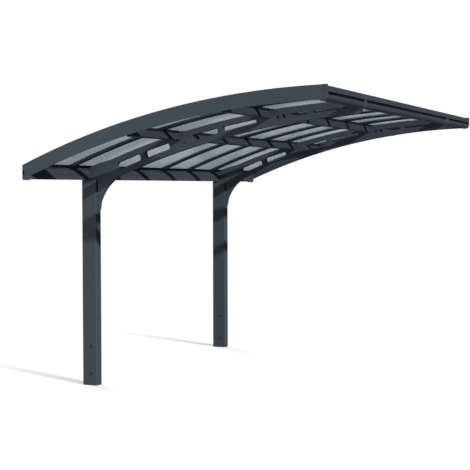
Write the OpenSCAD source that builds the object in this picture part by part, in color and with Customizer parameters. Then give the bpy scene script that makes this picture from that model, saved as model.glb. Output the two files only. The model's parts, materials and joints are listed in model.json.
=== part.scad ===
// Cantilever carport: two posts carry slotted curved arms, and the arms carry a barrel-curved panel roof.
// The origin is the middle of the left post's foot, on the ground. +X runs along the eave, the tip of the
// roof points to -Y, +Z is up. All sizes are in millimetres.

/* [Overall] */
// Length of the roof along the eave
roof_length = 4992; // [4000:2:6200]
// Level distance from the low eave end to the front of the tip beam
roof_reach = 2708; // [2200:1:3300]
// Distance between the middles of the two posts
post_spacing = 2953; // [2200:1:4000]
// Height of the gutter's underside, which is the length of the posts
eave_height = 1888; // [1500:1:2600]

/* [Roof curve] */
// Radius of the roof curve, which the fascias and panels follow
roof_radius = 6904; // [5600:1:9000]
// Level distance from the tip to the highest point of the roof's circle
crown_past = 84; // [0:1:300]
// Height of the roof curve over the gutter's underside at the low end
low_rise = 118; // [100:1:180]

/* [Posts and anchors] */
// Post width along the eave
post_width = 94; // [70:1:140]
// Post depth in the direction of the arms
post_depth = 148; // [120:1:220]
// Wall of the post tube
post_wall = 4; // [3:0.5:8]
// Outside corner radius of the post tube
post_corner = 9; // [6:0.5:16]
// Setback of the post from the low eave end
post_setback = 13; // [4:1:40]
// Height of the steel anchor inside the post
anchor_height = 410; // [400:5:600]
// Width of the anchor's upright cheeks
cheek_width = 104; // [90:1:120]
// Thickness of the anchor's upright cheeks
cheek_thick = 6; // [4:0.5:10]
// Thickness of the anchor's sole plate
sole_thick = 10; // [6:1:16]
// Ground bolt spacing along the eave
sole_bolt_x = 50; // [40:1:60]
// Ground bolt spacing in the direction of the arms
sole_bolt_y = 100; // [80:1:110]
// Radius of the ground bolt holes
sole_hole_r = 7; // [5:0.5:9]
// Height of the lower side bolt, which holds the post on its anchor
side_bolt_low = 120; // [60:1:160]
// Height of the upper side bolt
side_bolt_high = 370; // [200:1:390]
// Distance of the side bolts from the post's middle, towards the tip
side_bolt_out = 36; // [0:1:42]
// Radius of the side bolt holes
side_hole_r = 6.5; // [4:0.5:8]

/* [Arms and knees] */
// Arm width along the eave
arm_width = 50; // [36:1:80]
// Depth of the arm's top edge under the roof curve
arm_top = 57; // [54:1:80]
// Depth of the arm's lower edge under the roof curve, at the post
arm_root_depth = 224; // [200:1:280]
// Depth of the arm's lower edge under the roof curve, at the tip
arm_tip_depth = 160; // [140:1:190]
// Radius of the arm's lower edge
arm_low_radius = 7430; // [6600:1:9000]
// Width of solid arm left above and below the slots
slot_rim = 49; // [40:1:54]
// Width of the web between the two slots of a bay
slot_web = 50; // [20:1:80]
// Start of the first slot past the front of the post
slot_first = 155; // [130:1:260]
// Solid stretch of arm before the low purlin
slot_before_low = 87; // [60:1:120]
// Solid stretch of arm before the high purlin and before the tip beam
slot_before = 97; // [50:1:120]
// Solid stretch of arm past a purlin, which takes the purlin's bolt
slot_after = 104; // [90:1:150]
// Distance of a web from the middle between a purlin and the end of that bay's slots
web_lead = 14; // [0:1:40]
// Level length of the ramp over which the arm's top drops from the panels at the post
head_ramp = 140; // [100:1:200]
// Radius of the knee's hollow curve
knee_radius = 420; // [340:1:460]
// Height of the knee from its foot to the post top
knee_drop = 272; // [200:1:320]
// Height of the knee's bolted flange
knee_flange = 160; // [120:1:200]
// Width of the knee's bolted flange
flange_width = 83; // [66:1:90]
// Thickness of the knee's bolted flange
flange_thick = 8; // [6:0.5:16]

/* [Roof frame] */
// Height of the fascias' top edge over the roof curve
fascia_over = 2.5; // [0:0.5:10]
// Depth of the fascias' bottom edge under the roof curve
fascia_depth = 113; // [100:1:130]
// Thickness of the fascia sheet
fascia_wall = 4; // [2:0.5:6]
// Width of the fascia's panel rails
fascia_rail = 40; // [30:1:60]
// Width of the fascia's top lip
fascia_lip = 24; // [16:1:36]
// Width of the fascia's bottom lip
fascia_hem = 8; // [5:1:16]
// Depth of the gutter in the direction of the arms
gutter_depth = 84; // [70:1:110]
// Height of the gutter's inner face
gutter_tall = 88; // [76:1:94]
// Height of the gutter's outer wall
gutter_back = 78; // [60:1:84]
// Wall of the gutter
gutter_wall = 4; // [3:0.5:6]
// Thickness of the gutter's inner wall, which carries the panels
gutter_inner = 14; // [13:0.5:18]
// Depth of the groove along the gutter's inner face, and of the step above it
gutter_groove = 3; // [2:0.5:4]
// Height of the deep groove over the gutter's inner face
eave_groove = 10; // [6:1:12]
// Width of the outlet in each gutter end
outlet_wide = 17; // [10:1:24]
// Height of the outlet in each gutter end
outlet_tall = 34; // [20:1:36]
// Height of the outlet's lower edge over the gutter's underside
outlet_low = 41; // [30:1:42]
// Front face of the low purlin, from the low eave end
purlin_low_at = 985; // [900:1:1100]
// Front face of the high purlin, from the low eave end
purlin_high_at = 1848; // [1700:1:2000]
// Thickness of the purlins
purlin_thick = 40; // [30:1:60]
// Height of the purlins
purlin_tall = 82; // [70:1:100]
// Wall of the purlins
purlin_wall = 3; // [2:0.5:5]
// Outside corner radius of the purlins
purlin_corner = 5; // [4:0.5:8]
// Thickness of the tip beam
tip_thick = 63; // [50:1:90]
// Height of the tip beam's front face
tip_tall = 114; // [104:1:130]
// Drop of the tip beam's top edge under the roof curve at the tip
tip_lip = 6; // [4:1:12]
// Thickness of the upright wall in front of the panels
tip_front = 12; // [8:1:14]
// Radius of the tip beam's lower front edge
tip_round = 36; // [20:1:40]
// Depth of the recess under the tip beam's top edge
tip_groove_at = 43; // [30:1:54]
// Wall of the tip beam
tip_wall = 4; // [3:0.5:6]
// Height of the recess along the tip beam
tip_groove = 25; // [10:1:26]
// Depth of the recess along the tip beam
tip_groove_depth = 30; // [8:1:40]

/* [Panels and bars] */
// Depth of the panels' underside under the roof curve
panel_under = 37; // [30:1:40]
// Thickness of the panels
panel_thick = 10; // [6:1:16]
// Distance from the roof's end to the middle of the outer panel joint
panel_edge = 45.2; // [30:0.1:60]
// Start of the panels from the low eave end
panel_start = 30; // [20:1:40]
// Distance from the end of the panels to the front of the tip beam
panel_stop = 15; // [14.5:0.5:24]
// Gap between a panel and the web or sheet beside it
panel_gap = 2; // [1:0.5:4]
// Width of the cap strip over a panel joint
bar_cap = 44; // [34:1:60]
// Thickness of the cap strip
bar_cap_thick = 5; // [3:0.5:8]
// Width of the bar under a panel joint
bar_width = 34; // [26:1:50]
// Height of the bar under the panels
bar_drop = 15; // [10:1:16]
// Wall of the bar
bar_wall = 2.5; // [2:0.5:4]
// Width of the web between two panels
bar_web = 6; // [4:0.5:10]
// Gap between the bars and the purlins they run between
bar_gap = 4; // [3:0.5:10]

/* [Hidden] */
// Clearance between faces that meet
fit = 0.3;
panel_count = 8;
panel_pitch = (roof_length - 2 * panel_edge) / panel_count;
left_end = (post_spacing - roof_length) / 2;
right_end = left_end + roof_length;
mid_x = post_spacing / 2;
low_y = post_depth / 2 + post_setback;
tip_y = low_y - roof_reach;
post_front = post_setback + post_depth;
arc_y = tip_y - crown_past;
arc_z = eave_height + low_rise - sqrt(pow(roof_radius, 2) - pow(low_y - arc_y, 2));
tip_top = level(roof_reach, 0);
// How far a cutting shape runs past what it cuts
past = 1;
// A size that reaches past any part of the roof
far = 2 * roof_reach;
// Corner radius of the slots as a share of their height, and of the first slot's round end
slot_corner = 0.3;
slot_end = 0.48;
// End caps: thickness, depth behind the tip's front, how far a tip cap stands out in front and on top,
// and how far it laps the tip beam
cap_thick = 6;
cap_deep = 40;
cap_front = 5;
cap_up = 2;
cap_lap = 8;
// Foot of a gutter cap: height, length, and how far it hangs under the gutter
cap_foot = 60;
foot_long = 74;
foot_drop = 7;
// Setback of the arm's end from the front of the tip beam
nose_back = 1;
// Start of the rails and bars behind the gutter's inner face; their square ends clear the gutter's seat
rail_back = 15;
// Slant of the flanks of the gutter's groove
groove_slant = 1;
// Share of the knee's radius that its blunt end takes off
knee_blunt = 0.13;
slot_top = arm_top + slot_rim;
slots_end = roof_reach - tip_thick - slot_before;
purlin_low_back = purlin_low_at - purlin_thick;
purlin_high_back = purlin_high_at - purlin_thick;
rail_start = gutter_depth - rail_back;
gutter_step = gutter_depth - gutter_groove - groove_slant;
eave_lip = 5;
tip_low = tip_lip + tip_tall;
low_arc = through(spot(post_front, arm_root_depth), spot(roof_reach, arm_tip_depth), arm_low_radius);
knee_foot = eave_height - knee_drop;
knee_toe = [low_y - post_front - flange_thick, knee_foot];
knee_mid = meet(low_arc, arm_low_radius - knee_radius, knee_toe, knee_radius);
knee_end = low_arc + (knee_mid - low_arc) * arm_low_radius / (arm_low_radius - knee_radius);
knee_span = low_y - post_front - knee_end[0] - knee_blunt * knee_radius;
arm_foot_y = low_y - post_front - flange_thick;
arm_foot = arm_edge(arm_foot_y);
nose_mid = [tip_y + nose_back + tip_round, tip_top - tip_low + tip_round];
nose_heel = arm_edge(tip_y + tip_thick);
nose = tangent(nose_mid, tip_round, nose_heel, 0)[0];
arm_end = low_y - nose[0];
groove_mid = gutter_tall / 2;
tip_seat = tip_top - level(roof_reach - tip_thick, panel_under + fit) + fit;
$fn = 96;

// Height of the roof curve, at a level distance u from the low end and a depth d under it
function level(u, d) = arc_z + sqrt(pow(roof_radius - d, 2) - pow(low_y - u - arc_y, 2));
// Slope angle of the roof curve at u
function slope(u) = asin((low_y - u - arc_y) / roof_radius);
// Point in the Y-Z plane straight under the roof curve at u
function spot(u, d) = [low_y - u, level(u, d)];
// Point in the Y-Z plane square under the roof curve at u
function square_under(u, d) = [arc_y, arc_z] + (roof_radius - d) * [sin(slope(u)), cos(slope(u))];
// Middle of the circle of radius r that passes over two points and bulges upwards
function through(a, b, r) = let (m = (a + b) / 2, h = norm(b - a) / 2, n = [b[1] - a[1], a[0] - b[0]] / (2 * h))
    m + sqrt(r * r - h * h) * (n[1] < 0 ? n : -n);
// Depth of the arm's lower edge at u
function arm_low(u) = let (s = slope(u), t = [sin(s), cos(s)], c = low_arc - [arc_y, arc_z], k = c * t)
    roof_radius - k - sqrt(k * k - c * c + pow(arm_low_radius, 2));
// Point of the arm's lower edge at y
function arm_edge(y) = [y, low_arc[1] + sqrt(pow(arm_low_radius, 2) - pow(y - low_arc[0], 2))];
// Height of the panels' seat over the gutter's underside, at u
function seat(u) = level(u, panel_under + fit) - fit - eave_height;
// The two points where the outer tangent from one circle to the next touches them
function tangent(c1, r1, c2, r2) = let (v = c2 - c1, a = atan2(v[1], v[0]) - acos((r1 - r2) / norm(v)),
    n = [cos(a), sin(a)]) [c1 + r1 * n, c2 + r2 * n];
// Direction of point p from point c
function toward(c, p) = atan2(p[1] - c[1], p[0] - c[0]);
// The meeting point nearer to the tip of two circles
function meet(a, ra, b, rb) = let (d = norm(b - a), e = (b - a) / d, k = (ra * ra - rb * rb + d * d) / (2 * d),
    h = sqrt(ra * ra - k * k), n = e[1] > 0 ? [-e[1], e[0]] : [e[1], -e[0]]) a + k * e + h * n;
// Middle of the panel joint k
function joint_x(k) = left_end + panel_edge + k * panel_pitch;
// Whether the bar over joint k crosses an arm at x
function crosses(k, x) = abs(joint_x(k) - x) < (bar_width + arm_width) / 2 + fit;

// Shape in the Y-Z plane, carried along X from a to b
module along(a, b) {
    translate([a, 0, 0]) rotate([90, 0, 90]) linear_extrude(height = b - a) children();
}

// Profile of radius and X, swept along the roof curve from u = a to u = b
module sweep(a, b) {
    translate([0, arc_y, arc_z]) rotate([90, 0, 90]) rotate([0, 0, 90 - slope(a)])
        rotate_extrude(angle = slope(a) - slope(b), $fn = 720) children();
}

// Rectangle of a swept profile, from X x0 to x1 and from depth d0 to d1
module strip(x0, x1, d0, d1) {
    translate([roof_radius - d1, x0]) square([d1 - d0, x1 - x0]);
}

// Mirror image of a left part on the right
module opposite() {
    translate([2 * mid_x, 0, 0]) mirror([1, 0, 0]) children();
}

// Rectangle with round corners
module round_box(w, d, r) {
    square([w - 2 * r, d], center = true);
    square([w, d - 2 * r], center = true);
    for (x = [-1, 1], y = [-1, 1]) translate([x * (w / 2 - r), y * (d / 2 - r)]) circle(r);
}

// Waste outside a rounded lower left corner of radius r
module corner(r) {
    difference() {
        translate([-past, -past]) square(r + past);
        translate([r, r]) circle(r);
    }
}

// Post tube with a closed top and the side bolt holes
module post(x) {
    color("DimGray") translate([x, 0, 0]) difference() {
        linear_extrude(height = eave_height) round_box(post_width, post_depth, post_corner);
        translate([0, 0, -past]) linear_extrude(height = eave_height - post_wall + past)
            round_box(post_width - 2 * post_wall, post_depth - 2 * post_wall, post_corner - post_wall);
        side_holes(post_width);
    }
}

// Side bolt holes through a width w
module side_holes(w) {
    for (z = [side_bolt_low, side_bolt_high]) translate([-w / 2 - past, -side_bolt_out, z]) rotate([0, 90, 0])
        cylinder(h = w + 2 * past, r = side_hole_r);
}

// Steel anchor inside the post: a sole plate with four ground bolt holes and two upright cheeks
module anchor(x) {
    in_w = post_width - 2 * post_wall - 2 * fit;
    in_d = post_depth - 2 * post_wall - 2 * fit;
    color("Silver") translate([x, 0, 0]) difference() {
        union() {
            linear_extrude(height = sole_thick) difference() {
                round_box(in_w, in_d, post_corner - post_wall);
                for (i = [-1, 1], j = [-1, 1])
                    translate([i * sole_bolt_x / 2, j * sole_bolt_y / 2]) circle(sole_hole_r);
            }
            for (s = [-1, 1]) translate([s * (in_w - cheek_thick) / 2, 0, anchor_height / 2])
                cube([cheek_thick, cheek_width, anchor_height], center = true);
        }
        side_holes(in_w);
    }
}

// Slot in the arm from u0 to u1, with corner radii in proportion to its two ends
module slot(u0, u1, round0, round1) {
    h0 = arm_low(u0) - slot_rim - slot_top;
    h1 = arm_low(u1) - slot_rim - slot_top;
    r0 = h0 * round0;
    r1 = h1 * round1;
    c = [square_under(u1 - r1, slot_top + h1 - r1), square_under(u0 + r0, slot_top + h0 - r0),
         square_under(u0 + r0, slot_top + r0), square_under(u1 - r1, slot_top + r1)];
    r = [r1, r0, r0, r1];
    polygon([for (i = [0:3]) each tangent(c[i], r[i], c[(i + 1) % 4], r[(i + 1) % 4])]);
    for (i = [0:3]) translate(c[i]) circle(r[i]);
}

// The two slots of one bay, on both sides of a web
module slot_pair(a, web, b, first_round) {
    slot(a, web - slot_web / 2, first_round, slot_corner);
    slot(web + slot_web / 2, b, slot_corner, slot_corner);
}

// The two slots of a bay that starts at the purlin at u
module bay_slots(u, b) {
    slot_pair(u + slot_after, (u + b) / 2 + web_lead, b, slot_corner);
}

// Disc under the roof curve at depth d
module roof_disc(d) {
    translate([arc_y, arc_z]) rotate(toward([arc_y, arc_z], spot(arm_end, d)))
        circle(roof_radius - d, $fn = 720);
}

// Disc under the arm's lower edge, smaller by g
module low_disc(g) {
    translate(low_arc) rotate(toward(low_arc, arm_foot)) circle(arm_low_radius - g, $fn = 720);
}

// Side shape of the arm without its slots: its top drops from the panels past the post, its end slants
module arm_side() {
    root = gutter_depth + fit;
    difference() {
        intersection() {
            roof_disc(panel_under + past);
            translate([low_y - arm_end, knee_foot]) square([arm_end - root, far]);
        }
        low_disc(0);
        polygon([nose, nose_heel, nose_heel - [0, far], [nose[0] - past, nose_heel[1] - far],
                 [nose[0] - past, nose[1]]]);
        translate([low_y - post_front - flange_thick, eave_height - far]) square([far, far + fit]);
        difference() {
            polygon([spot(post_front + past, panel_under - past), spot(post_front + head_ramp, arm_top),
                     spot(arm_end + past, roof_radius / 2), spot(arm_end + past, -far),
                     spot(post_front + past, -far)]);
            roof_disc(arm_top);
        }
    }
}

// Curved arm with three pairs of slots, and a nose that shows between the lengths of the tip beam
module arm(x) {
    first = post_front + slot_first;
    last = purlin_low_back - slot_before_low;
    notch = bar_width / 2 + fit;
    color("DimGray") difference() {
        along(x - arm_width / 2, x + arm_width / 2) {
            difference() {
                arm_side();
                slot_pair(first, (first + last) / 2, last, slot_end);
                bay_slots(purlin_low_at, purlin_high_back - slot_before);
                bay_slots(purlin_high_at, slots_end);
            }
            translate([tip_y + nose_back, tip_top]) tip_outline();
        }
        for (k = [1:panel_count - 1]) if (crosses(k, x)) sweep(0, post_front + head_ramp)
            strip(joint_x(k) - notch, joint_x(k) + notch, 0, panel_under + bar_drop + fit);
    }
}

// Knee with a hollow curve, between the front of the post and the arm
module knee(x) {
    face = low_y - post_front - fit;
    color("DimGray") {
        along(x - arm_width / 2, x + arm_width / 2) difference() {
            intersection() {
                low_disc(fit);
                translate([face - knee_span, knee_foot]) square([knee_span - flange_thick, far]);
            }
            translate(knee_mid) circle(knee_radius, $fn = 720);
        }
        along(x - flange_width / 2, x + flange_width / 2)
            translate([face - flange_thick - fit, knee_foot]) square([flange_thick + fit, knee_flange]);
    }
}

// Gutter with a grooved inner face, a deep groove over it and a raised seat for the panels
module gutter() {
    d = gutter_depth;
    w = gutter_wall;
    g = gutter_groove;
    s = groove_slant;
    in = d - gutter_inner;
    lip = gutter_step - g;
    color("DimGray") along(left_end + fascia_wall + cap_thick, right_end - fascia_wall - cap_thick)
        translate([low_y, eave_height]) mirror([1, 0])
        polygon([[0, 0], [d, 0], [d, groove_mid - g], [d - g, groove_mid - g + s], [d - g, groove_mid + g - s],
                 [d, groove_mid + g], [d, gutter_tall], [in + w, gutter_tall],
                 [in + w, gutter_tall + eave_groove], [gutter_step, gutter_tall + eave_groove],
                 [gutter_step, seat(lip) - eave_lip], [lip, seat(lip) - eave_lip], [lip, seat(lip)],
                 [in, seat(in)], [in, w], [w, w], [w, gutter_back], [0, gutter_back - g]]);
}

// Outlet through a gutter end, from X a to b
module outlet(a, b) {
    along(a, b) translate([low_y - gutter_wall - outlet_wide, eave_height + outlet_low])
        square([outlet_wide, outlet_tall]);
}

// End cap of the gutter, with an outlet and a foot that is flush with the fascia and hangs under the gutter
module gutter_cap() {
    in = left_end + fascia_wall;
    top = gutter_tall - gutter_wall;
    color("DimGray") difference() {
        union() {
            along(in, in + cap_thick - fit) translate([low_y, eave_height]) mirror([1, 0])
                polygon([[0, 0], [gutter_depth, 0], [gutter_depth, top], [gutter_depth - 2 * gutter_inner, top],
                         [0, gutter_back - gutter_wall]]);
            along(left_end, in + past) intersection() {
                translate([low_y - foot_long, eave_height - foot_drop]) square([foot_long, cap_foot]);
                roof_disc(fascia_depth + fit);
            }
        }
        outlet(left_end - past, in + cap_thick);
    }
}

// Hollow purlin with its front face at u, from X a to b
module purlin(u, a, b) {
    mid = u - purlin_thick / 2;
    w = purlin_wall;
    color("DimGray") along(a, b)
        translate(square_under(mid, panel_under + fit + purlin_tall / 2)) rotate(-slope(mid)) difference() {
            round_box(purlin_thick, purlin_tall, purlin_corner);
            round_box(purlin_thick - 2 * w, purlin_tall - 2 * w, purlin_corner - w);
        }
}

// One segment of a purlin: 0 left, 1 middle, 2 right
module purlin_part(u, part) {
    g = arm_width / 2 + fit;
    e = fascia_wall + fascia_rail + fit;
    purlin(u, part == 0 ? left_end + e : part == 1 ? g : post_spacing + g,
           part == 0 ? -g : part == 1 ? post_spacing - g : right_end - e);
}

// Outline of the tip beam without its recess: an upright front wall, a panel seat and a round lower edge
module tip_outline() {
    difference() {
        polygon([[0, -tip_lip], [0, -tip_low], [tip_thick, -tip_low], [tip_thick, -tip_seat],
                 [tip_front, -tip_seat], [tip_front, -tip_lip]]);
        translate([0, -tip_low]) corner(tip_round);
    }
}

// Hollow tip beam with a recess along its front, from X a to b
module tip_beam(a, b) {
    groove = tip_lip + tip_groove_at;
    in = tip_groove_depth + tip_wall;
    back = tip_thick - tip_wall;
    color("DimGray") along(a, b) translate([tip_y, tip_top]) difference() {
        tip_outline();
        translate([-past, -groove - tip_groove]) square([tip_groove_depth + past, tip_groove]);
        polygon([[in, -tip_seat - tip_wall], [in, tip_round - tip_low], [tip_round, tip_wall - tip_low],
                 [back, tip_wall - tip_low], [back, -tip_seat - tip_wall]]);
    }
}

// One segment of the tip beam: 0 left, 1 middle, 2 right
module tip_part(part) {
    g = arm_width / 2 + fit;
    e = cap_thick + cap_lap + fit;
    tip_beam(part == 0 ? left_end + e : part == 1 ? g : post_spacing + g,
             part == 0 ? -g : part == 1 ? post_spacing - g : right_end - e);
}

// Corner cap between the tip beam and a fascia, rounded like the beam, with room for the panel
module tip_cap() {
    color("DimGray") difference() {
        along(left_end, left_end + cap_thick + cap_lap)
            translate([tip_y - cap_front, tip_top - tip_low]) difference() {
                square([cap_front + cap_deep, tip_low + fascia_over + cap_up]);
                corner(tip_round + cap_front);
            }
        along(left_end + fascia_wall, left_end + far) translate([tip_y + tip_front, tip_top - tip_seat])
            square(far);
    }
}

// Side fascia: an upright sheet with a top lip, two panel rails, a bottom lip and the gutter's outlet
module fascia() {
    w = fascia_wall;
    x0 = left_end;
    rail = x0 + w + fascia_rail;
    over = panel_under - panel_thick - fit;
    under = panel_under + fit;
    wide = fascia_lip + fascia_rail;
    color("DimGray") difference() {
        union() {
            sweep(-gutter_depth, roof_reach) {
                strip(x0, x0 + w, -fascia_over, fascia_depth);
                strip(x0, x0 + fascia_lip, -fascia_over, w - fascia_over);
                strip(x0, rail, over - w, over);
            }
            sweep(rail_start, roof_reach - tip_thick - bar_gap) {
                strip(x0, rail, under, under + w);
                strip(x0, x0 + fascia_hem, fascia_depth - w, fascia_depth);
            }
        }
        translate([x0 - past, low_y, eave_height - far]) cube([wide, far, 2 * far]);
        translate([x0 - past, low_y - far / 4, eave_height - far]) cube([wide, far, far]);
        translate([x0 - past, tip_y - far, tip_top - far]) cube([wide, far + cap_deep + fit, 2 * far]);
        outlet(x0 - past, x0 + w + past);
    }
}

// Glazing bar over panel joint k: a cap strip and web in one length, and a hollow bar in three lengths
module bar(k) {
    x = joint_x(k);
    top = panel_under - panel_thick - fit;
    half = bar_width / 2;
    in = half - bar_wall;
    ends = [[rail_start, purlin_low_back - bar_gap],
            [purlin_low_at + bar_gap, purlin_high_back - bar_gap],
            [purlin_high_at + bar_gap, roof_reach - tip_thick - bar_gap]];
    color("DarkSlateGray") {
        sweep(panel_start + bar_gap, roof_reach - panel_stop) {
            strip(x - bar_cap / 2, x + bar_cap / 2, top - bar_cap_thick, top);
            strip(x - bar_web / 2, x + bar_web / 2, top - past, panel_under);
        }
        for (e = ends) sweep(e[0], e[1]) difference() {
            union() {
                strip(x - bar_web / 2, x + bar_web / 2, panel_under - past, panel_under + bar_wall);
                strip(x - half, x + half, panel_under + fit, panel_under + bar_drop);
            }
            strip(x - in, x + in, panel_under + fit + bar_wall, panel_under + bar_drop - bar_wall);
        }
    }
}

// Roof panel in bay k
module panel(k) {
    gap = bar_web / 2 + panel_gap;
    side = fascia_wall + panel_gap;
    a = k == 0 ? left_end + side : joint_x(k) + gap;
    b = k == panel_count - 1 ? right_end - side : joint_x(k + 1) - gap;
    color("LightSlateGray", 0.6) sweep(panel_start, roof_reach - panel_stop)
        strip(a, b, panel_under - panel_thick, panel_under);
}

module left_post() { post(0); }
module right_post() { post(post_spacing); }
module left_anchor() { anchor(0); }
module right_anchor() { anchor(post_spacing); }
module left_arm() { arm(0); }
module right_arm() { arm(post_spacing); }
module left_knee() { knee(0); }
module right_knee() { knee(post_spacing); }
module left_gutter_cap() { gutter_cap(); }
module right_gutter_cap() { opposite() gutter_cap(); }
module purlin_low_left() { purlin_part(purlin_low_at, 0); }
module purlin_low_mid() { purlin_part(purlin_low_at, 1); }
module purlin_low_right() { purlin_part(purlin_low_at, 2); }
module purlin_high_left() { purlin_part(purlin_high_at, 0); }
module purlin_high_mid() { purlin_part(purlin_high_at, 1); }
module purlin_high_right() { purlin_part(purlin_high_at, 2); }
module tip_beam_left() { tip_part(0); }
module tip_beam_mid() { tip_part(1); }
module tip_beam_right() { tip_part(2); }
module left_tip_cap() { tip_cap(); }
module right_tip_cap() { opposite() tip_cap(); }
module left_fascia() { fascia(); }
module right_fascia() { opposite() fascia(); }
module bar_1() { bar(1); }
module bar_2() { bar(2); }
module bar_3() { bar(3); }
module bar_4() { bar(4); }
module bar_5() { bar(5); }
module bar_6() { bar(6); }
module bar_7() { bar(7); }
module panel_1() { panel(0); }
module panel_2() { panel(1); }
module panel_3() { panel(2); }
module panel_4() { panel(3); }
module panel_5() { panel(4); }
module panel_6() { panel(5); }
module panel_7() { panel(6); }
module panel_8() { panel(7); }

left_post();
right_post();
left_anchor();
right_anchor();
left_arm();
right_arm();
left_knee();
right_knee();
gutter();
left_gutter_cap();
right_gutter_cap();
purlin_low_left();
purlin_low_mid();
purlin_low_right();
purlin_high_left();
purlin_high_mid();
purlin_high_right();
tip_beam_left();
tip_beam_mid();
tip_beam_right();
left_tip_cap();
right_tip_cap();
left_fascia();
right_fascia();
bar_1();
bar_2();
bar_3();
bar_4();
bar_5();
bar_6();
bar_7();
panel_1();
panel_2();
panel_3();
panel_4();
panel_5();
panel_6();
panel_7();
panel_8();
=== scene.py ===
"""Looks of the cantilever carport: coats, translucent sheets, seals and fasteners on the CAD frame."""

import json
import math

import bmesh
import bpy
from mathutils import Matrix, Vector


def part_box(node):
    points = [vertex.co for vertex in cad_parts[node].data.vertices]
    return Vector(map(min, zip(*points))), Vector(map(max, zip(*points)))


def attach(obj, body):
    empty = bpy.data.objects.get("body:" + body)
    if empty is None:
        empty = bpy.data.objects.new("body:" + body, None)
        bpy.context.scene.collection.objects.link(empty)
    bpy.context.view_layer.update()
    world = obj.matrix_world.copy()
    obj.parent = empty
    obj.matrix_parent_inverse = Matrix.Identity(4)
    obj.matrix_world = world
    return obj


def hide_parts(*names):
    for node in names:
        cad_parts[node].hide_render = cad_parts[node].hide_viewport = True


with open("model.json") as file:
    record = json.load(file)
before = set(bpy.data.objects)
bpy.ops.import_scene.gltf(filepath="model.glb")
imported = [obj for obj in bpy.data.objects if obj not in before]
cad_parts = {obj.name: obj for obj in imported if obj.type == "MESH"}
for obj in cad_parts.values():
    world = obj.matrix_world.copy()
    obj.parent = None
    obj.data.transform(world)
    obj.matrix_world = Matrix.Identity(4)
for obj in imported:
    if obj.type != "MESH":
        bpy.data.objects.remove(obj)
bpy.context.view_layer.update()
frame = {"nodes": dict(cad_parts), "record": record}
nodes = frame["nodes"]
scene = bpy.context.scene
MM = 0.001
BARS = range(1, 8)
PANELS = range(1, 9)
SIDES = ("left", "right")
ROW_PARTS = ("left", "mid", "right")

# Camera, fitted to the photo's edges; the nudges are in pixels of the photo
CAMERA_AT = Vector((-9.9395, -5.6385, 1.8124))
CAMERA_AIM = Vector((0.9203, 0.3893, -0.0388))
CAMERA_ROLL = -0.0018
CAMERA_LENS = 94.6
FOCAL_PIXELS = 1235.0
NUDGE_RIGHT = 0.2
NUDGE_DOWN = 0.85
SENSOR_WIDTH = 36.0
VIEW_END = 300.0

# Light and floor; the floor and the sky bounce less light than they show
SUN_TRAVEL = Vector((0.385, 0.810, -0.443))
SUN_STRENGTH = 3.5
SUN_ANGLE = math.radians(1.2)
SIDE_AT = Vector((-8.0, 0.5, 1.6))
SIDE_AIM = Vector((0.0, 0.0, 1.6))
SIDE_POWER = 215.0
SIDE_SIZE = 3.0
FILL_TRAVEL = Vector((-0.5, -0.6, -0.3))
FILL_STRENGTH = 2.2
FILL_ANGLE = math.radians(40.0)
SKY_STRENGTH = 0.12
FLOOR_BOUNCE = 0.24
FLOOR_WHITE = 1.25
SHADOW_SHARE = 0.7
SHADOW_REACH = 2.0
FLOOR_HALF = 60.0
WHITE = (1.0, 1.0, 1.0)

# Colours and gloss; a moulded finish is roughness, grain scale and specular level
COAT_ROUGH = 0.7
COAT_SPECULAR = 0.006
CAP_FINISH = (0.6, 500.0, 0.02)
SEAL_FINISH = (0.7, 900.0, 0.006)
STEEL_ROUGH = 0.4
FRAME_COLOUR = (0.054, 0.068, 0.084)
# Gutter, tip beam and purlins get the frame coat darkened: painted shade
INNER_PAINTED_SHADE_COLOUR = (0.044, 0.054, 0.068)
PURLIN_PAINTED_SHADE_COLOUR = (0.034, 0.043, 0.052)
BAR_COLOUR = (0.016, 0.021, 0.026)
CAP_COLOUR = (0.057, 0.071, 0.087)
# Black of the rubber seals, also used for the strips and linings of painted shade
SEAL_AND_SHADE_COLOUR = (0.010, 0.011, 0.012)
STEEL_COLOUR = (0.55, 0.57, 0.58)
PANEL_COLOUR = (0.13, 0.24, 0.30)
PANEL_TINT = (0.89, 0.94, 0.98)
PANEL_SOLID = 0.52
PANEL_SPECULAR = 0.2
PANEL_SUN = 0.98

# Surface detail; a bump is its strength and distance, wear is its edge radius and most share
PLAIN_NOISE = 2.0
SOFT_NOISE = 3.0
RICH_NOISE = 4.0
NOISE_BAND = (0.3, 0.7)
EDGE_FLAT = 0.995
EDGE_SHARP = 0.85
WEAR_SCALE = 14.0
WEAR_BAND = (0.42, 0.62)
WEAR_LEAST = 0.2
BEVEL_SAMPLES = 4
COAT_DRIFT_SCALE = 1.3
COAT_DRIFT = (0.93, 1.07)
SPECK_SCALE = 220.0
SPECK_BAND = (0.35, 0.65)
SPECK_SHARE = 0.5
SPECK_GAIN = 1.16
COAT_WEAR = (1.0 * MM, 0.3)
COAT_WORN = 1.9
SHEEN_SCALE = 9.0
SHEEN_DRIFT = 0.06
COAT_GRAIN = 700.0
COAT_PEEL = (0.12, 0.2 * MM)
MOULD_DRIFT_SCALE = 6.0
MOULD_DRIFT = (0.85, 1.15)
MOULD_WEAR = (1.5 * MM, 0.4)
MOULD_WORN = 2.4
CELL_BAND = (0.0, 0.8)
CELL_GLOSS = (0.08, -0.05)
MOULD_PEBBLE = (0.25, 0.15 * MM)
CRYSTAL_SCALE = 130.0
CRYSTAL_DRIFT = (0.82, 1.08)
CRYSTAL_GLOSS = (0.1, -0.06)
SCRATCH_SCALE = 900.0
STEEL_SCRATCH = (0.15, 0.1 * MM)
CLOUD_SCALE = 2.2
CLOUD_DRIFT = (0.94, 1.06)
LINE_SCALE = (420.0, 3.0, 3.0)
SHEET_GLOSS = (0.2, 0.3)
SHEET_DRAW = (0.1, 0.1 * MM)

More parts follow.
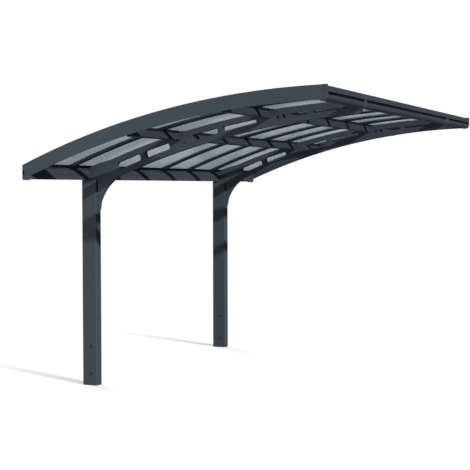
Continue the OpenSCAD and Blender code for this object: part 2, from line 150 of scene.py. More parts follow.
# Roof sheets
FASCIA_OVER = 2.5 * MM
SHEET_DEPTH = 37.0 * MM
SHEET_THICK = 10.0 * MM
WEB_PITCH = 16.0 * MM
SINK_WIDTH = 3.0 * MM
SINK_DEPTH = 0.25 * MM
ARC_STEPS = 48
SHEET_SMOOTH = 20.0
PLAIN_SMOOTH = 30.0

# Seals and strips; the purlin strips, the tip groove's strip and the outlet linings are black, painted shade
# Thickness of the eave seal and of the purlins' strips; the purlin values shape strips of painted shade
SEAL_AND_SHADE_THICK = 3.0 * MM
PURLIN_SHADE_TALL = 22.0 * MM
PURLIN_SHADE_CHAMFER = 1.5 * MM
PURLIN_SHADE_CUT = 0.6
PURLIN_SHADE_GAP = 0.2 * MM
EAVE_SEAL = 26.0 * MM
EAVE_SEAL_GAP = 0.1 * MM
EAVE_SEAL_REST = 14.0 * MM
EAVE_SEAL_FOOT = 5.0 * MM
EAVE_SEAL_HEEL = 1.0 * MM
GUTTER_LIP = 7.0 * MM
STRIP_DEPTH = 14.0 * MM
STRIP_WALL = 1.5 * MM
BAR_HALF = 17.0 * MM
BAR_GAP = 0.5 * MM
BAR_DROP = 15.0 * MM
CAP_HALF = 22.0 * MM
CAP_THICK = 5.0 * MM
CAP_SEAT = 0.3 * MM
BEAD = 2.5 * MM
BEAD_IN = 0.5 * MM
BEAD_GAP = 0.1 * MM
BEAD_TOP = 0.7
BEAD_SHOULDER = 0.6
GROOVE_TOP = 43.0 * MM
GROOVE_TALL = 25.0 * MM
GROOVE_DEEP = 30.0 * MM
# Black strip of painted shade deep in the tip beam's groove
GROOVE_SHADE_BACK = 9.0 * MM
GROOVE_SHADE_GAP = 0.1 * MM
GROOVE_SHADE_DENT = 0.25
# Black linings of painted shade inside the gutter outlets
OUTLET_BACK = (21.0 * MM, 4.0 * MM)
OUTLET_UP = (48.0 * MM, 82.0 * MM)
OUTLET_RINGS = ((9.0, 0.1), (0.6, 0.1), (0.6, 1.8), (7.5, 2.2))

# Fasteners; bolt shares are of the width across flats, and a shape is shares of radius and height
SUNK = 0.2 * MM
WASHER_WIDE = 0.72
WASHER_TOP = 0.68
WASHER_THICK = 0.13
WASHER_EDGE = 0.7
HEAD_TALL = 0.58
NUT_TALL = 0.72
STUD_WIDE = 0.31
HEAD_FOOT = 0.5
HEAD_SHAPE = ((1.0, 0.8), (0.9, 1.0), (0.3, 1.03))
NUT_SHAPE = ((1.0, 0.85), (0.9, 1.0))
STUD_SHAPE = ((1.0, 1.25), (0.8, 1.4))
SCREW_SHAPE = ((1.0, 0.15), (0.93, 0.38), (0.7, 0.55), (0.5, 0.6), (0.46, 0.58), (0.42, 0.25), (0.1, 0.22))
PLUG_SHAPE = ((1.0, 0.1), (0.92, 0.2), (0.6, 0.28), (0.2, 0.3))
TURNED_SIDES = 24
SCREW_SIDES = 18
STUD_SIDES = 16
HEX_SIDES = 6
FASTENER_SMOOTH = 25.0
POST_BOLT = 19.0 * MM
POST_BOLT_HEIGHTS = (0.120, 0.370)
POST_BOLT_OUT = 36.0 * MM
POST_BOLT_TURN = 0.3
POST_NUT_TURN = 0.9
FLANGE_BOLT = 11.0 * MM
FLANGE_BOLT_SIDE = 33.0 * MM
FLANGE_BOLT_UP = (0.040, 0.120)
FLANGE_BOLT_TURN = 0.4
FLANGE_RIM = 1.0 * MM
ARM_BOLT = 13.0 * MM
ARM_BOLT_AT = (1.060, 0.150)
ARM_BOLT_TURN = 0.2
ARM_NUT_TURN = 0.7
ARM_PLUG = 13.0 * MM
ARM_PLUG_AT = (1.932, 0.122)
CAP_SCREW = 5.5 * MM
CAP_SCREW_COUNT = 7
CAP_SCREW_FIRST = 0.35
CAP_SCREW_ENDS = 0.3


# Node trees

def add(tree, kind, inputs=None, **settings):
    """A shader node; each input is a socket to link or a value to set."""
    node = tree.nodes.new("ShaderNode" + kind)
    for key, value in settings.items():
        setattr(node, key, value)
    for key, value in (inputs or {}).items():
        if isinstance(value, bpy.types.NodeSocket):
            tree.links.new(value, node.inputs[key])
        else:
            node.inputs[key].default_value = value
    return node


def rgba(colour, gain=1.0):
    return tuple(c * gain for c in colour) + (1.0,)


def new_tree(name):
    material = bpy.data.materials.new(name)
    material.use_nodes = True
    material.node_tree.nodes.clear()
    return material, material.node_tree


def noise(tree, coords, scale, detail=PLAIN_NOISE):
    return add(tree, "TexNoise", {"Vector": coords, "Scale": scale, "Detail": detail}).outputs[0]


def spread(tree, value, low, high, to_low, to_high):
    """Maps low..high of a value to to_low..to_high."""
    return add(tree, "MapRange", {"Value": value, "From Min": low, "From Max": high,
                                  "To Min": to_low, "To Max": to_high}).outputs[0]


def blend_colour(tree, share, a, b):
    node = add(tree, "Mix", {0: share}, data_type="RGBA")
    for socket, colour in ((node.inputs[6], a), (node.inputs[7], b)):
        if isinstance(colour, bpy.types.NodeSocket):
            tree.links.new(colour, socket)
        else:
            socket.default_value = colour
    return node.outputs[2]


def drifting(tree, share, colour, gains):
    """Colour that goes from the first to the second gain with a share."""
    return blend_colour(tree, share, rgba(colour, gains[0]), rgba(colour, gains[1]))


def bump(tree, height, strength, distance):
    return add(tree, "Bump", {"Height": height, "Strength": strength, "Distance": distance}).outputs[0]


def math_node(tree, operation, a, b):
    return add(tree, "Math", {0: a, 1: b}, operation=operation).outputs[0]


def edge_wear(tree, coords, radius, amount):
    """Share of rubbed paint: high on outside edges, broken up by noise."""
    rounded = add(tree, "Bevel", {"Radius": radius}, samples=BEVEL_SAMPLES).outputs[0]
    normal = add(tree, "NewGeometry").outputs["Normal"]
    turn = add(tree, "VectorMath", {0: rounded, 1: normal}, operation="DOT_PRODUCT").outputs["Value"]
    edge = spread(tree, turn, EDGE_FLAT, EDGE_SHARP, 0.0, amount)
    patch = spread(tree, noise(tree, coords, WEAR_SCALE, RICH_NOISE), *WEAR_BAND, WEAR_LEAST, 1.0)
    return math_node(tree, "MULTIPLY", edge, patch)


def principled(material, inputs):
    """Puts a Principled shader with these inputs on a material."""
    tree = material.node_tree
    shader = add(tree, "BsdfPrincipled", inputs)
    add(tree, "OutputMaterial", {"Surface": shader.outputs[0]})
    return material


def coated_metal(name, colour):
    """Matt powder coat: slow tone drift, fine specks, orange-peel grain and rubbed edges."""
    material, tree = new_tree(name)
    coords = add(tree, "TexCoord").outputs["Object"]
    tone = spread(tree, noise(tree, coords, COAT_DRIFT_SCALE, SOFT_NOISE), *NOISE_BAND, 0.0, 1.0)
    base = drifting(tree, tone, colour, COAT_DRIFT)
    fine = spread(tree, noise(tree, coords, SPECK_SCALE, SOFT_NOISE), *SPECK_BAND, 0.0, SPECK_SHARE)
    speck = blend_colour(tree, fine, base, rgba(colour, SPECK_GAIN))
    worn = blend_colour(tree, edge_wear(tree, coords, *COAT_WEAR), speck, rgba(colour, COAT_WORN))
    sheen = spread(tree, noise(tree, coords, SHEEN_SCALE, RICH_NOISE), *NOISE_BAND,
                   COAT_ROUGH - SHEEN_DRIFT, COAT_ROUGH + SHEEN_DRIFT)
    peel = bump(tree, noise(tree, coords, COAT_GRAIN), *COAT_PEEL)
    return principled(material, {"Base Color": worn, "Roughness": sheen, "Normal": peel,
                                 "Specular IOR Level": COAT_SPECULAR})


def moulded_plastic(name, colour, rough, grain, specular):
    """Dark plastic or rubber with a fine leathery grain and paler, scuffed edges."""
    material, tree = new_tree(name)
    coords = add(tree, "TexCoord").outputs["Object"]
    cells = add(tree, "TexVoronoi", {"Vector": coords, "Scale": grain}).outputs["Distance"]
    tone = spread(tree, noise(tree, coords, MOULD_DRIFT_SCALE, SOFT_NOISE), *NOISE_BAND, 0.0, 1.0)
    base = drifting(tree, tone, colour, MOULD_DRIFT)
    worn = blend_colour(tree, edge_wear(tree, coords, *MOULD_WEAR), base, rgba(colour, MOULD_WORN))
    sheen = spread(tree, cells, *CELL_BAND, rough + CELL_GLOSS[0], rough + CELL_GLOSS[1])
    pebble = bump(tree, cells, *MOULD_PEBBLE)
    return principled(material, {"Base Color": worn, "Roughness": sheen, "Normal": pebble,
                                 "Specular IOR Level": specular})


def zinc_steel(name):
    """Zinc-coated steel: crystal patches of slightly different brightness and gloss."""
    material, tree = new_tree(name)
    coords = add(tree, "TexCoord").outputs["Object"]
    crystal = add(tree, "TexVoronoi", {"Vector": coords, "Scale": CRYSTAL_SCALE}).outputs["Color"]
    shade = add(tree, "SeparateColor", {"Color": crystal}).outputs[0]
    base = drifting(tree, shade, STEEL_COLOUR, CRYSTAL_DRIFT)
    gloss = spread(tree, shade, 0.0, 1.0, STEEL_ROUGH + CRYSTAL_GLOSS[0], STEEL_ROUGH + CRYSTAL_GLOSS[1])
    scratch = bump(tree, noise(tree, coords, SCRATCH_SCALE), *STEEL_SCRATCH)
    return principled(material, {"Base Color": base, "Roughness": gloss, "Normal": scratch, "Metallic": 1.0})


def panel_sheet(name):
    """Translucent grey sheet: soft cloudiness, long extrusion lines, and most of the sun let through."""
    material, tree = new_tree(name)
    coords = add(tree, "TexCoord").outputs["Object"]
    cloud = spread(tree, noise(tree, coords, CLOUD_SCALE, SOFT_NOISE), *NOISE_BAND, 0.0, 1.0)
    base = drifting(tree, cloud, PANEL_COLOUR, CLOUD_DRIFT)
    lines = add(tree, "Mapping", {"Vector": coords, "Scale": LINE_SCALE}).outputs[0]
    streak = noise(tree, lines, 1.0)
    gloss = spread(tree, streak, *NOISE_BAND, *SHEET_GLOSS)
    draw = bump(tree, streak, *SHEET_DRAW)
    shader = add(tree, "BsdfPrincipled", {"Base Color": base, "Roughness": gloss, "Normal": draw,
                                          "Specular IOR Level": PANEL_SPECULAR})
    through = add(tree, "BsdfTransparent", {"Color": rgba(PANEL_TINT)})
    sheet = add(tree, "MixShader", {0: PANEL_SOLID, 1: through.outputs[0], 2: shader.outputs[0]})
    clear = add(tree, "BsdfTransparent", {"Color": rgba(WHITE, PANEL_SUN)})
    shadow = add(tree, "LightPath").outputs["Is Shadow Ray"]
    mix = add(tree, "MixShader", {0: shadow, 1: sheet.outputs[0], 2: clear.outputs[0]})
    add(tree, "OutputMaterial", {"Surface": mix.outputs[0]})
    return material


# Roof curve

def circle_through(a, b, c):
    """Middle and radius of the circle through three points of a plane."""
    ax, ay, bx, by, cx, cy = *a, *b, *c
    d = 2 * (ax * (by - cy) + bx * (cy - ay) + cx * (ay - by))
    sa, sb, sc = ax * ax + ay * ay, bx * bx + by * by, cx * cx + cy * cy
    x = (sa * (by - cy) + sb * (cy - ay) + sc * (ay - by)) / d
    y = (sa * (cx - bx) + sb * (ax - cx) + sc * (bx - ax)) / d
    return Vector((x, y)), math.hypot(ax - x, ay - y)


def roof_circle():
    """Middle (Y, Z) and radius of the roof curve, from the fascias' top edge."""
    points = [(v.co.y, v.co.z) for v in nodes["left_fascia"].data.vertices]
    low = max(points, key=lambda p: (round(p[0], 5), p[1]))
    tip = max(points, key=lambda p: p[1])
    across = (tip[1] - low[1], low[0] - tip[0])
    high = max(points, key=lambda p: p[0] * across[0] + p[1] * across[1])
    middle, radius = circle_through(low, high, tip)
    return middle, radius - FASCIA_OVER


ARC_MIDDLE, ARC_RADIUS = roof_circle()


def angle_at(y):
    return math.asin((y - ARC_MIDDLE[0]) / ARC_RADIUS)


def under_roof(x, angle, depth):
    """Point square under the roof curve."""
    r = ARC_RADIUS - depth
    return Vector((x, ARC_MIDDLE[0] + r * math.sin(angle), ARC_MIDDLE[1] + r * math.cos(angle)))


# Mesh helpers

def piece(name, bm, material, smooth_angle=PLAIN_SMOOTH):
    """Makes a mesh piece of the object that moves with the frame."""
    bmesh.ops.recalc_face_normals(bm, faces=bm.faces)
    mesh = bpy.data.meshes.new(name)
    bm.to_mesh(mesh)
    bm.free()
    mesh.polygons.foreach_set("use_smooth", [True] * len(mesh.polygons))
    mesh.set_sharp_from_angle(angle=math.radians(smooth_angle))
    mesh.materials.append(material)
    obj = bpy.data.objects.new(name, mesh)
    scene.collection.objects.link(obj)
    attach(obj, "root")
    return obj


def bridge(bm, rings):
    """Closed skin over rings of equal length, with both ends shut."""
    loops = [[bm.verts.new(p) for p in ring] for ring in rings]
    for one, two in zip(loops, loops[1:]):
        for i in range(len(one)):
            j = (i + 1) % len(one)
            bm.faces.new((one[i], one[j], two[j], two[i]))
    bm.faces.new(loops[0][::-1])
    bm.faces.new(loops[-1])


def sweep(bm, profile, y0, y1):
    """Closed profile of (x, depth) carried along the roof curve."""
    a0, a1 = angle_at(y0), angle_at(y1)
    rings = []
    for k in range(ARC_STEPS + 1):
        a = a0 + (a1 - a0) * k / ARC_STEPS
        rings.append([under_roof(x, a, d) for x, d in profile])
    bridge(bm, rings)


def turned(bm, outline, place, sides=TURNED_SIDES):
    """Solid turned from (radius, height) pairs, with its axis along the local Z of place."""
    rings = []
    for radius, height in outline:
        rings.append([place @ Vector((radius * math.cos(t), radius * math.sin(t), height))
                      for t in (2 * math.pi * i / sides for i in range(sides))])
    bridge(bm, rings)


def facing(at, axis):
    """Matrix that puts the origin at a point and local Z along an axis."""
    return Matrix.Translation(at) @ Vector(axis).to_track_quat("Z", "Y").to_matrix().to_4x4()


def washer(bm, place, across):
    """Flat washer under a head or nut; gives its thickness."""
    wide, thick = across * WASHER_WIDE, across * WASHER_THICK
    turned(bm, [(wide, -SUNK), (wide, thick * WASHER_EDGE), (across * WASHER_TOP, thick)], place)
    return thick


def above(thick, radius, height, shape):
    """Outline of (radius, height) pairs that stands on a washer."""
    return [(radius * a, thick + height * b) for a, b in shape]


def hex_bolt(bm, at, axis, across, turn):
    """Hexagon head with a chamfered top, on a flat washer."""
    place = facing(at, axis)
    t = washer(bm, place, across)
    r = across / math.sqrt(3)
    head = place @ Matrix.Rotation(turn, 4, "Z")
    turned(bm, [(r, t * HEAD_FOOT)] + above(t, r, across * HEAD_TALL, HEAD_SHAPE), head, HEX_SIDES)


def hex_nut(bm, at, axis, across, turn):
    """Hexagon nut on a washer, with the bolt's end standing out of it."""
    place = facing(at, axis)
    t = washer(bm, place, across)
    r = across / math.sqrt(3)
    h = across * NUT_TALL
    nut = place @ Matrix.Rotation(turn, 4, "Z")
    turned(bm, [(r, t * HEAD_FOOT)] + above(t, r, h, NUT_SHAPE), nut, HEX_SIDES)
    end = across * STUD_WIDE
    turned(bm, [(end, t)] + above(t, end, h, STUD_SHAPE), place, STUD_SIDES)


def round_head(bm, at, axis, radius, shape, sides=TURNED_SIDES):
    """Round head or plug that starts just under the surface it stands on."""
    turned(bm, [(radius, -SUNK)] + [(a * radius, b * radius) for a, b in shape], facing(at, axis), sides)


# Roof sheets, strips, seals, black pieces of painted shade and fasteners

def sheet_profile(x0, x1, top, bottom):
    """Cross-section of a sheet, with a sink mark over each inner web on both faces."""
    count = round((x1 - x0) / WEB_PITCH)
    webs = [x0 + (x1 - x0) * k / count for k in range(1, count)]
    upper = [(x0, top)]
    for x in webs:
        upper += [(x - SINK_WIDTH / 2, top), (x, top + SINK_DEPTH), (x + SINK_WIDTH / 2, top)]
    upper.append((x1, top))
    lower = [(x, top + bottom - d) for x, d in upper]
    return upper + lower[::-1]


def bar_middle(k):
    lo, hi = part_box("bar_%d" % k)
    return (lo.x + hi.x) / 2


def bay_edges():
    """X of both sides of each bay: the fascias' sheets and the middles of the bars."""
    edges = [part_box("panel_1")[0].x - BAR_HALF]
    edges += [bar_middle(k) for k in BARS]
    edges.append(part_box("panel_8")[1].x + BAR_HALF)
    return edges


def straight(bm, outline, x0, x1):
    """Closed outline of (y, z) points carried along X."""
    bridge(bm, [[Vector((x, y, z)) for y, z in outline] for x in (x0, x1)])


def under_points(pairs):
    """(y, z) of points given by their Y on the roof curve and their depth square under it."""
    spots = [under_roof(0.0, angle_at(y), depth) for y, depth in pairs]
    return [(p.y, p.z) for p in spots]


def make_panels(material):
    """Eight twin-wall sheets in place of the plain ones."""
    for k in PANELS:
        name = "panel_%d" % k
        lo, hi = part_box(name)
        bm = bmesh.new()
        sweep(bm, sheet_profile(lo.x, hi.x, SHEET_DEPTH - SHEET_THICK, SHEET_DEPTH), hi.y, lo.y)
        sheet = piece("sheet_%d" % k, bm, material, SHEET_SMOOTH)
        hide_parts(name)


def make_end_strips(material):
    """U-shaped strips that shut the sheets' cells at their low ends."""
    for k in PANELS:
        lo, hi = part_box("panel_%d" % k)
        y = hi.y
        w, t = STRIP_WALL, SHEET_DEPTH - SHEET_THICK
        outline = under_points([(y + w, t - w), (y - STRIP_DEPTH, t - w), (y - STRIP_DEPTH, t), (y, t),
                                (y, SHEET_DEPTH), (y - STRIP_DEPTH, SHEET_DEPTH),
                                (y - STRIP_DEPTH, SHEET_DEPTH + w), (y + w, SHEET_DEPTH + w)])
        bm = bmesh.new()
        straight(bm, outline, lo.x + CAP_HALF, hi.x - CAP_HALF)
        piece("end_strip_%d" % k, bm, material)


def make_eave_seal(material):
    """Rubber tongue under the sheets along the gutter's seat, in front of its lip."""
    lo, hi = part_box("gutter")
    top, foot = hi.z, hi.z - EAVE_SEAL_FOOT
    lip = lo.y + GUTTER_LIP
    front = lip - SEAL_AND_SHADE_THICK
    under = SHEET_DEPTH + EAVE_SEAL_GAP
    tongue = under_points([(front + EAVE_SEAL_REST, under), (front - EAVE_SEAL, under),
                           (front - EAVE_SEAL, SHEET_DEPTH + SEAL_AND_SHADE_THICK)])
    outline = [(lip, foot), (lip, top), *tongue, (front, top - EAVE_SEAL_HEEL), (front, foot)]
    edges = bay_edges()
    bm = bmesh.new()
    for a, b in zip(edges, edges[1:]):
        straight(bm, outline, a + BAR_HALF + BAR_GAP, b - BAR_HALF - BAR_GAP)
    piece("eave_seal", bm, material)


def purlin_shade_runs(x0, x1):
    """Stretches of a purlin's black strip of painted shade and their upper depth: under the sheets, and lower
    down under the bars.
    """
    edges = bay_edges()
    reach = BAR_HALF + BAR_GAP
    top = SHEET_DEPTH + PURLIN_SHADE_GAP
    runs = [(a + reach, b - reach, top) for a, b in zip(edges, edges[1:])]
    runs += [(x - reach, x + reach, top + BAR_DROP) for x in edges[1:-1]]
    cut = [(max(a, x0), min(b, x1), depth) for a, b, depth in runs]
    return [run for run in cut if run[0] < run[1]]


def purlin_shade_strip(y, out, top):
    """Outline of a strip on a purlin's face at y, with its outer lower edge cut off."""
    low = SHEET_DEPTH + PURLIN_SHADE_TALL
    outer = y + out * SEAL_AND_SHADE_THICK
    return under_points([(y, top), (outer, top), (outer, low - PURLIN_SHADE_CHAMFER),
                         (y + out * PURLIN_SHADE_CUT * SEAL_AND_SHADE_THICK, low), (y, low)])


def make_purlin_shade_strips(material):
    """Black strips along the upper edges of the purlins, where the sheets rest: painted shade of the gap
    under the sheets.
    """
    for row in ("low", "high"):
        bm = bmesh.new()
        for part in ROW_PARTS:
            name = "purlin_%s_%s" % (row, part)
            lo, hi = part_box(name)
            front, back = purlin_faces(name)
            for y, out in ((front, -1), (back, 1)):
                for x0, x1, top in purlin_shade_runs(lo.x, hi.x):
                    straight(bm, purlin_shade_strip(y, out, top), x0, x1)
        piece("purlin_seal_%s" % row, bm, material)


def purlin_faces(name):
    """Y on the roof curve over the front and the back face of a purlin."""
    spots = [(v.co.y - ARC_MIDDLE[0], v.co.z - ARC_MIDDLE[1]) for v in nodes[name].data.vertices]
    turns = [math.asin(y / math.hypot(y, z)) for y, z in spots]
    middle = (min(turns) + max(turns)) / 2
    across = Vector((math.cos(middle), -math.sin(middle)))
    offsets = [y * across[0] + z * across[1] for y, z in spots]
    top = ARC_MIDDLE[0] + ARC_RADIUS * math.sin(middle)
    return top + min(offsets) * math.cos(middle), top + max(offsets) * math.cos(middle)


def make_cap_beads(material):
    """Rubber beads under both edges of each bar's cap strip."""
    for k in BARS:
        lo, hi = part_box("bar_%d" % k)
        x = bar_middle(k)
        low = SHEET_DEPTH - SHEET_THICK
        bm = bmesh.new()
        for side in (-1, 1):
            edge = x + side * CAP_HALF
            inside = edge - side * BEAD_IN
            profile = [(inside, low - CAP_THICK * BEAD_TOP),
                       (edge + side * BEAD * BEAD_SHOULDER, low - CAP_THICK * BEAD_SHOULDER),
                       (edge + side * BEAD, low - BEAD_GAP), (inside, low - BEAD_GAP)]
            sweep(bm, profile, hi.y, lo.y)
        piece("cap_bead_%d" % k, bm, material)


def make_tip_groove_shade(material):
    """Black strip deep in the groove along the front of the tip beam: painted shade inside the groove."""
    bm = bmesh.new()
    for part in ROW_PARTS:
        lo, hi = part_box("tip_beam_" + part)
        top = hi.z - GROOVE_TOP - GROOVE_SHADE_GAP
        low = hi.z - GROOVE_TOP - GROOVE_TALL + GROOVE_SHADE_GAP
        front, back = lo.y + GROOVE_SHADE_BACK, lo.y + GROOVE_DEEP - GROOVE_SHADE_GAP
        dent = (top - low) * GROOVE_SHADE_DENT
        outline = [(back, low), (front, low), (front + dent, low + dent), (front + dent, top - dent),
                   (front, top), (back, top)]
        straight(bm, outline, lo.x, hi.x)
    piece("tip_groove_shade", bm, material)


def make_outlet_shade(material):
    """Black linings in the outlets at both gutter ends: painted shade inside the holes."""
    for side, name in ((1, "left_gutter_cap"), (-1, "right_gutter_cap")):
        lo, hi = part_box(name)
        x = lo.x if side > 0 else hi.x
        y0, y1 = (hi.y - back for back in OUTLET_BACK)
        z0, z1 = (lo.z + up for up in OUTLET_UP)
        rings = []
        for depth, inset in OUTLET_RINGS:
            i = inset * MM
            rings.append([Vector((x + side * depth * MM, y, z)) for y, z in
                          ((y0 + i, z0 + i), (y1 - i, z0 + i), (y1 - i, z1 - i), (y0 + i, z1 - i))])
        bm = bmesh.new()
        bridge(bm, rings)
        piece(name.replace("gutter_cap", "outlet"), bm, material)


def make_post_bolts(material):
    """Bolts through both posts and their anchors: heads on one side, nuts on the other."""
    for side in SIDES:
        lo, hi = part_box(side + "_post")
        bm = bmesh.new()
        for n, z in enumerate(POST_BOLT_HEIGHTS):
            y = (lo.y + hi.y) / 2 - POST_BOLT_OUT
            hex_bolt(bm, Vector((lo.x, y, z)), (-1, 0, 0), POST_BOLT, POST_BOLT_TURN + n)
            hex_nut(bm, Vector((hi.x, y, z)), (1, 0, 0), POST_BOLT, POST_NUT_TURN + n)
        piece(side + "_post_bolts", bm, material, FASTENER_SMOOTH)


def make_flange_bolts(material):
    """Four bolts on each knee's flange."""
    for side in SIDES:
        lo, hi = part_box(side + "_knee")
        bm = bmesh.new()
        for s in (-1, 1):
            for n, up in enumerate(FLANGE_BOLT_UP):
                at = Vector(((lo.x + hi.x) / 2 + s * FLANGE_BOLT_SIDE, flange_face(side), lo.z + up))
                hex_bolt(bm, at, (0, -1, 0), FLANGE_BOLT, FLANGE_BOLT_TURN * n + s)
        piece(side + "_flange_bolts", bm, material, FASTENER_SMOOTH)


def flange_face(side):
    """Y of the front of a knee's flange, which is wider than the knee's web."""
    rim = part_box(side + "_knee")[0].x + FLANGE_RIM
    return min(v.co.y for v in nodes[side + "_knee"].data.vertices if v.co.x < rim)


def arm_point(u, depth):
    """(y, z) on an arm's side at a distance from the low edge and a depth under the roof curve."""
    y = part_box("gutter")[1].y - u
    return y, ARC_MIDDLE[1] + math.sqrt((ARC_RADIUS - depth) ** 2 - (y - ARC_MIDDLE[0]) ** 2)


def make_arm_bolts(material):
    """A bolt through each arm beside the low purlin, with a nut behind."""
    y, z = arm_point(*ARM_BOLT_AT)
    for side in SIDES:
        lo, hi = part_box(side + "_arm")
        bm = bmesh.new()
        hex_bolt(bm, Vector((lo.x, y, z)), (-1, 0, 0), ARM_BOLT, ARM_BOLT_TURN)
        hex_nut(bm, Vector((hi.x, y, z)), (1, 0, 0), ARM_BOLT, ARM_NUT_TURN)
        piece(side + "_arm_bolts", bm, material, FASTENER_SMOOTH)


def make_arm_plugs(material):
    """Domed rubber plugs in both sides of each arm beside the high purlin."""
    y, z = arm_point(*ARM_PLUG_AT)
    for side in SIDES:
        lo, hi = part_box(side + "_arm")
        bm = bmesh.new()
        for x, way in ((lo.x, -1), (hi.x, 1)):
            round_head(bm, Vector((x, y, z)), (way, 0, 0), ARM_PLUG, PLUG_SHAPE)
        piece(side + "_arm_plugs", bm, material, FASTENER_SMOOTH)


def make_cap_screws(material):
    """A row of screws along each bar's cap strip."""
    depth = SHEET_DEPTH - SHEET_THICK - CAP_SEAT - CAP_THICK
    for k in BARS:
        lo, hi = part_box("bar_%d" % k)
        bm = bmesh.new()
        for n in range(CAP_SCREW_COUNT):
            y = hi.y + (lo.y - hi.y) * (n + CAP_SCREW_FIRST) / (CAP_SCREW_COUNT - CAP_SCREW_ENDS)
            a = angle_at(y)
            at = under_roof(bar_middle(k), a, depth)
            round_head(bm, at, (0, math.sin(a), math.cos(a)), CAP_SCREW, SCREW_SHAPE, SCREW_SIDES)
        piece("cap_screws_%d" % k, bm, material, FASTENER_SMOOTH)


# Materials of the nodes, floor, light and camera

def dress_nodes():
    """Gives every CAD node the material of its slot; the gutter, tip beam and purlins get darker copies of
    the frame coat, which are painted shade.
    """
    # The seal rubber also paints shade on the purlins, in the tip groove and in the outlets
    looks = {"frame": coated_metal("frame_coat", FRAME_COLOUR),
             "bars": coated_metal("bar_coat", BAR_COLOUR),
             "caps": moulded_plastic("cap_plastic", CAP_COLOUR, *CAP_FINISH),
             "steel": zinc_steel("zinc_steel"),
             "panels": panel_sheet("panel_sheet"),
             "seal": moulded_plastic("seal_rubber_and_shade", SEAL_AND_SHADE_COLOUR, *SEAL_FINISH)}
    # Painted shade: darker copies of the frame coat for the gutter, tip beam and purlins
    inner = coated_metal("inner_coat_painted_shade", INNER_PAINTED_SHADE_COLOUR)
    painted_shade_coats = {"purlin": coated_metal("purlin_coat_painted_shade", PURLIN_PAINTED_SHADE_COLOUR), "gutter": inner, "tip": inner}
    for part in frame["record"]["subparts"]:
        name = part["node"]
        mesh = nodes[name].data
        mesh.materials.clear()
        mesh.materials.append(painted_shade_coats.get(name.split("_")[0], looks[part["material_slot"]]))
    return looks


def shown_rays(tree):
    """1 for rays that show a thing to the camera, directly, by reflection or through a sheet."""
    path = add(tree, "LightPath").outputs
    mirror = math_node(tree, "MAXIMUM", path["Is Camera Ray"], path["Is Glossy Ray"])
    return math_node(tree, "MAXIMUM", mirror, path["Is Transmission Ray"])


def foot_distance(tree):
    """Distance on the floor from the nearer post's foot."""
    place = add(tree, "NewGeometry").outputs["Position"]
    gaps = []
    for side in SIDES:
        lo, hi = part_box(side + "_post")
        foot = (lo + hi) / 2
        foot.z = 0.0
        gaps.append(add(tree, "VectorMath", {0: place, 1: foot}, operation="DISTANCE").outputs["Value"])
    return math_node(tree, "MINIMUM", *gaps)


def make_floor():
    """White floor that keeps the shadows near the posts."""
    material, tree = new_tree("floor")
    share = spread(tree, foot_distance(tree), 0.0, SHADOW_REACH, SHADOW_SHARE, 0.0)
    white = add(tree, "Emission", {"Color": rgba(WHITE), "Strength": 1.0})
    plain = add(tree, "BsdfDiffuse", {"Color": rgba(WHITE, FLOOR_WHITE)})
    seen = add(tree, "MixShader", {0: share, 1: white.outputs[0], 2: plain.outputs[0]})
    dull = add(tree, "BsdfDiffuse", {"Color": rgba(WHITE, FLOOR_BOUNCE)})
    mix = add(tree, "MixShader", {0: shown_rays(tree), 1: dull.outputs[0], 2: seen.outputs[0]})
    add(tree, "OutputMaterial", {"Surface": mix.outputs[0]})
    bm = bmesh.new()
    bmesh.ops.create_grid(bm, x_segments=2, y_segments=2, size=FLOOR_HALF)
    mesh = bpy.data.meshes.new("floor")
    bm.to_mesh(mesh)
    bm.free()
    mesh.materials.append(material)
    floor = bpy.data.objects.new("floor", mesh)
    scene.collection.objects.link(floor)


def make_light():
    """World that shows white and lights softly, two suns and a side lamp."""
    world = bpy.data.worlds.new("studio")
    scene.world = world
    world.use_nodes = True
    tree = world.node_tree
    tree.nodes.clear()
    soft = add(tree, "Background", {"Color": rgba(WHITE), "Strength": SKY_STRENGTH})
    white = add(tree, "Background", {"Color": rgba(WHITE), "Strength": 1.0})
    mix = add(tree, "MixShader", {0: shown_rays(tree), 1: soft.outputs[0], 2: white.outputs[0]})
    add(tree, "OutputWorld", {"Surface": mix.outputs[0]})
    add_sun("sun", SUN_TRAVEL, SUN_STRENGTH, SUN_ANGLE)
    add_sun("fill", FILL_TRAVEL, FILL_STRENGTH, FILL_ANGLE)
    add_side_light()


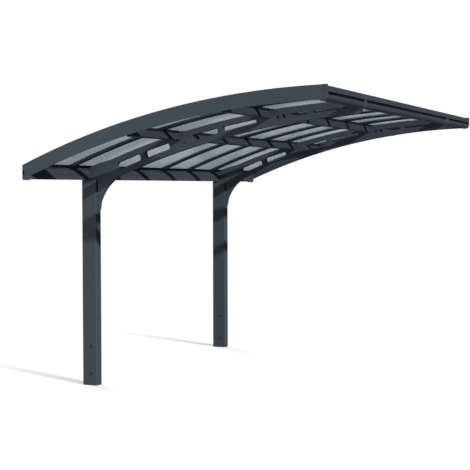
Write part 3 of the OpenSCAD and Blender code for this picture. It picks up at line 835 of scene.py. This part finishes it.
def add_sun(name, travel, strength, angle):
    sun = bpy.data.lights.new(name, "SUN")
    sun.energy = strength
    sun.angle = angle
    lamp = bpy.data.objects.new(name, sun)
    lamp.rotation_euler = travel.to_track_quat("-Z", "Y").to_euler()
    scene.collection.objects.link(lamp)


def add_side_light():
    """Large soft lamp beside the left end of the roof."""
    light = bpy.data.lights.new("side", "AREA")
    light.energy = SIDE_POWER
    light.size = SIDE_SIZE
    lamp = bpy.data.objects.new("side", light)
    lamp.location = SIDE_AT
    lamp.rotation_euler = (SIDE_AIM - SIDE_AT).to_track_quat("-Z", "Y").to_euler()
    lamp.visible_camera = False
    scene.collection.objects.link(lamp)


def level_axes(aim):
    """Right and up of a camera that looks along aim and is held level."""
    right = aim.cross(Vector((0.0, 0.0, 1.0))).normalized()
    return right, right.cross(aim)


def make_camera():
    """Camera at the photo's place, turned by the fitted nudges and roll."""
    forward = CAMERA_AIM.normalized()
    right, up = level_axes(forward)
    aim = forward - right * (NUDGE_RIGHT / FOCAL_PIXELS) + up * (NUDGE_DOWN / FOCAL_PIXELS)
    aim.normalize()
    right, up = level_axes(aim)
    turn = Matrix((right, up, -aim)).transposed() @ Matrix.Rotation(CAMERA_ROLL, 3, "Z")
    lens = bpy.data.cameras.new("camera")
    lens.lens = CAMERA_LENS
    lens.sensor_width = SENSOR_WIDTH
    lens.sensor_fit = "HORIZONTAL"
    lens.clip_end = VIEW_END
    camera = bpy.data.objects.new("camera", lens)
    camera.matrix_world = Matrix.Translation(CAMERA_AT) @ turn.to_4x4()
    scene.collection.objects.link(camera)
    scene.camera = camera


# Run

scene.view_settings.view_transform = "Standard"
looks = dress_nodes()
make_panels(looks["panels"])
make_end_strips(looks["bars"])
make_eave_seal(looks["seal"])
# Painted shade: black strips along the purlins' upper edges
make_purlin_shade_strips(looks["seal"])
make_cap_beads(looks["seal"])
# Painted shade: black strip in the tip beam's groove
make_tip_groove_shade(looks["seal"])
# Painted shade: black linings inside the gutter outlets
make_outlet_shade(looks["seal"])
make_post_bolts(looks["frame"])
make_flange_bolts(looks["bars"])
make_arm_bolts(looks["frame"])
make_arm_plugs(looks["seal"])
make_cap_screws(looks["steel"])
make_floor()
make_light()
make_camera()
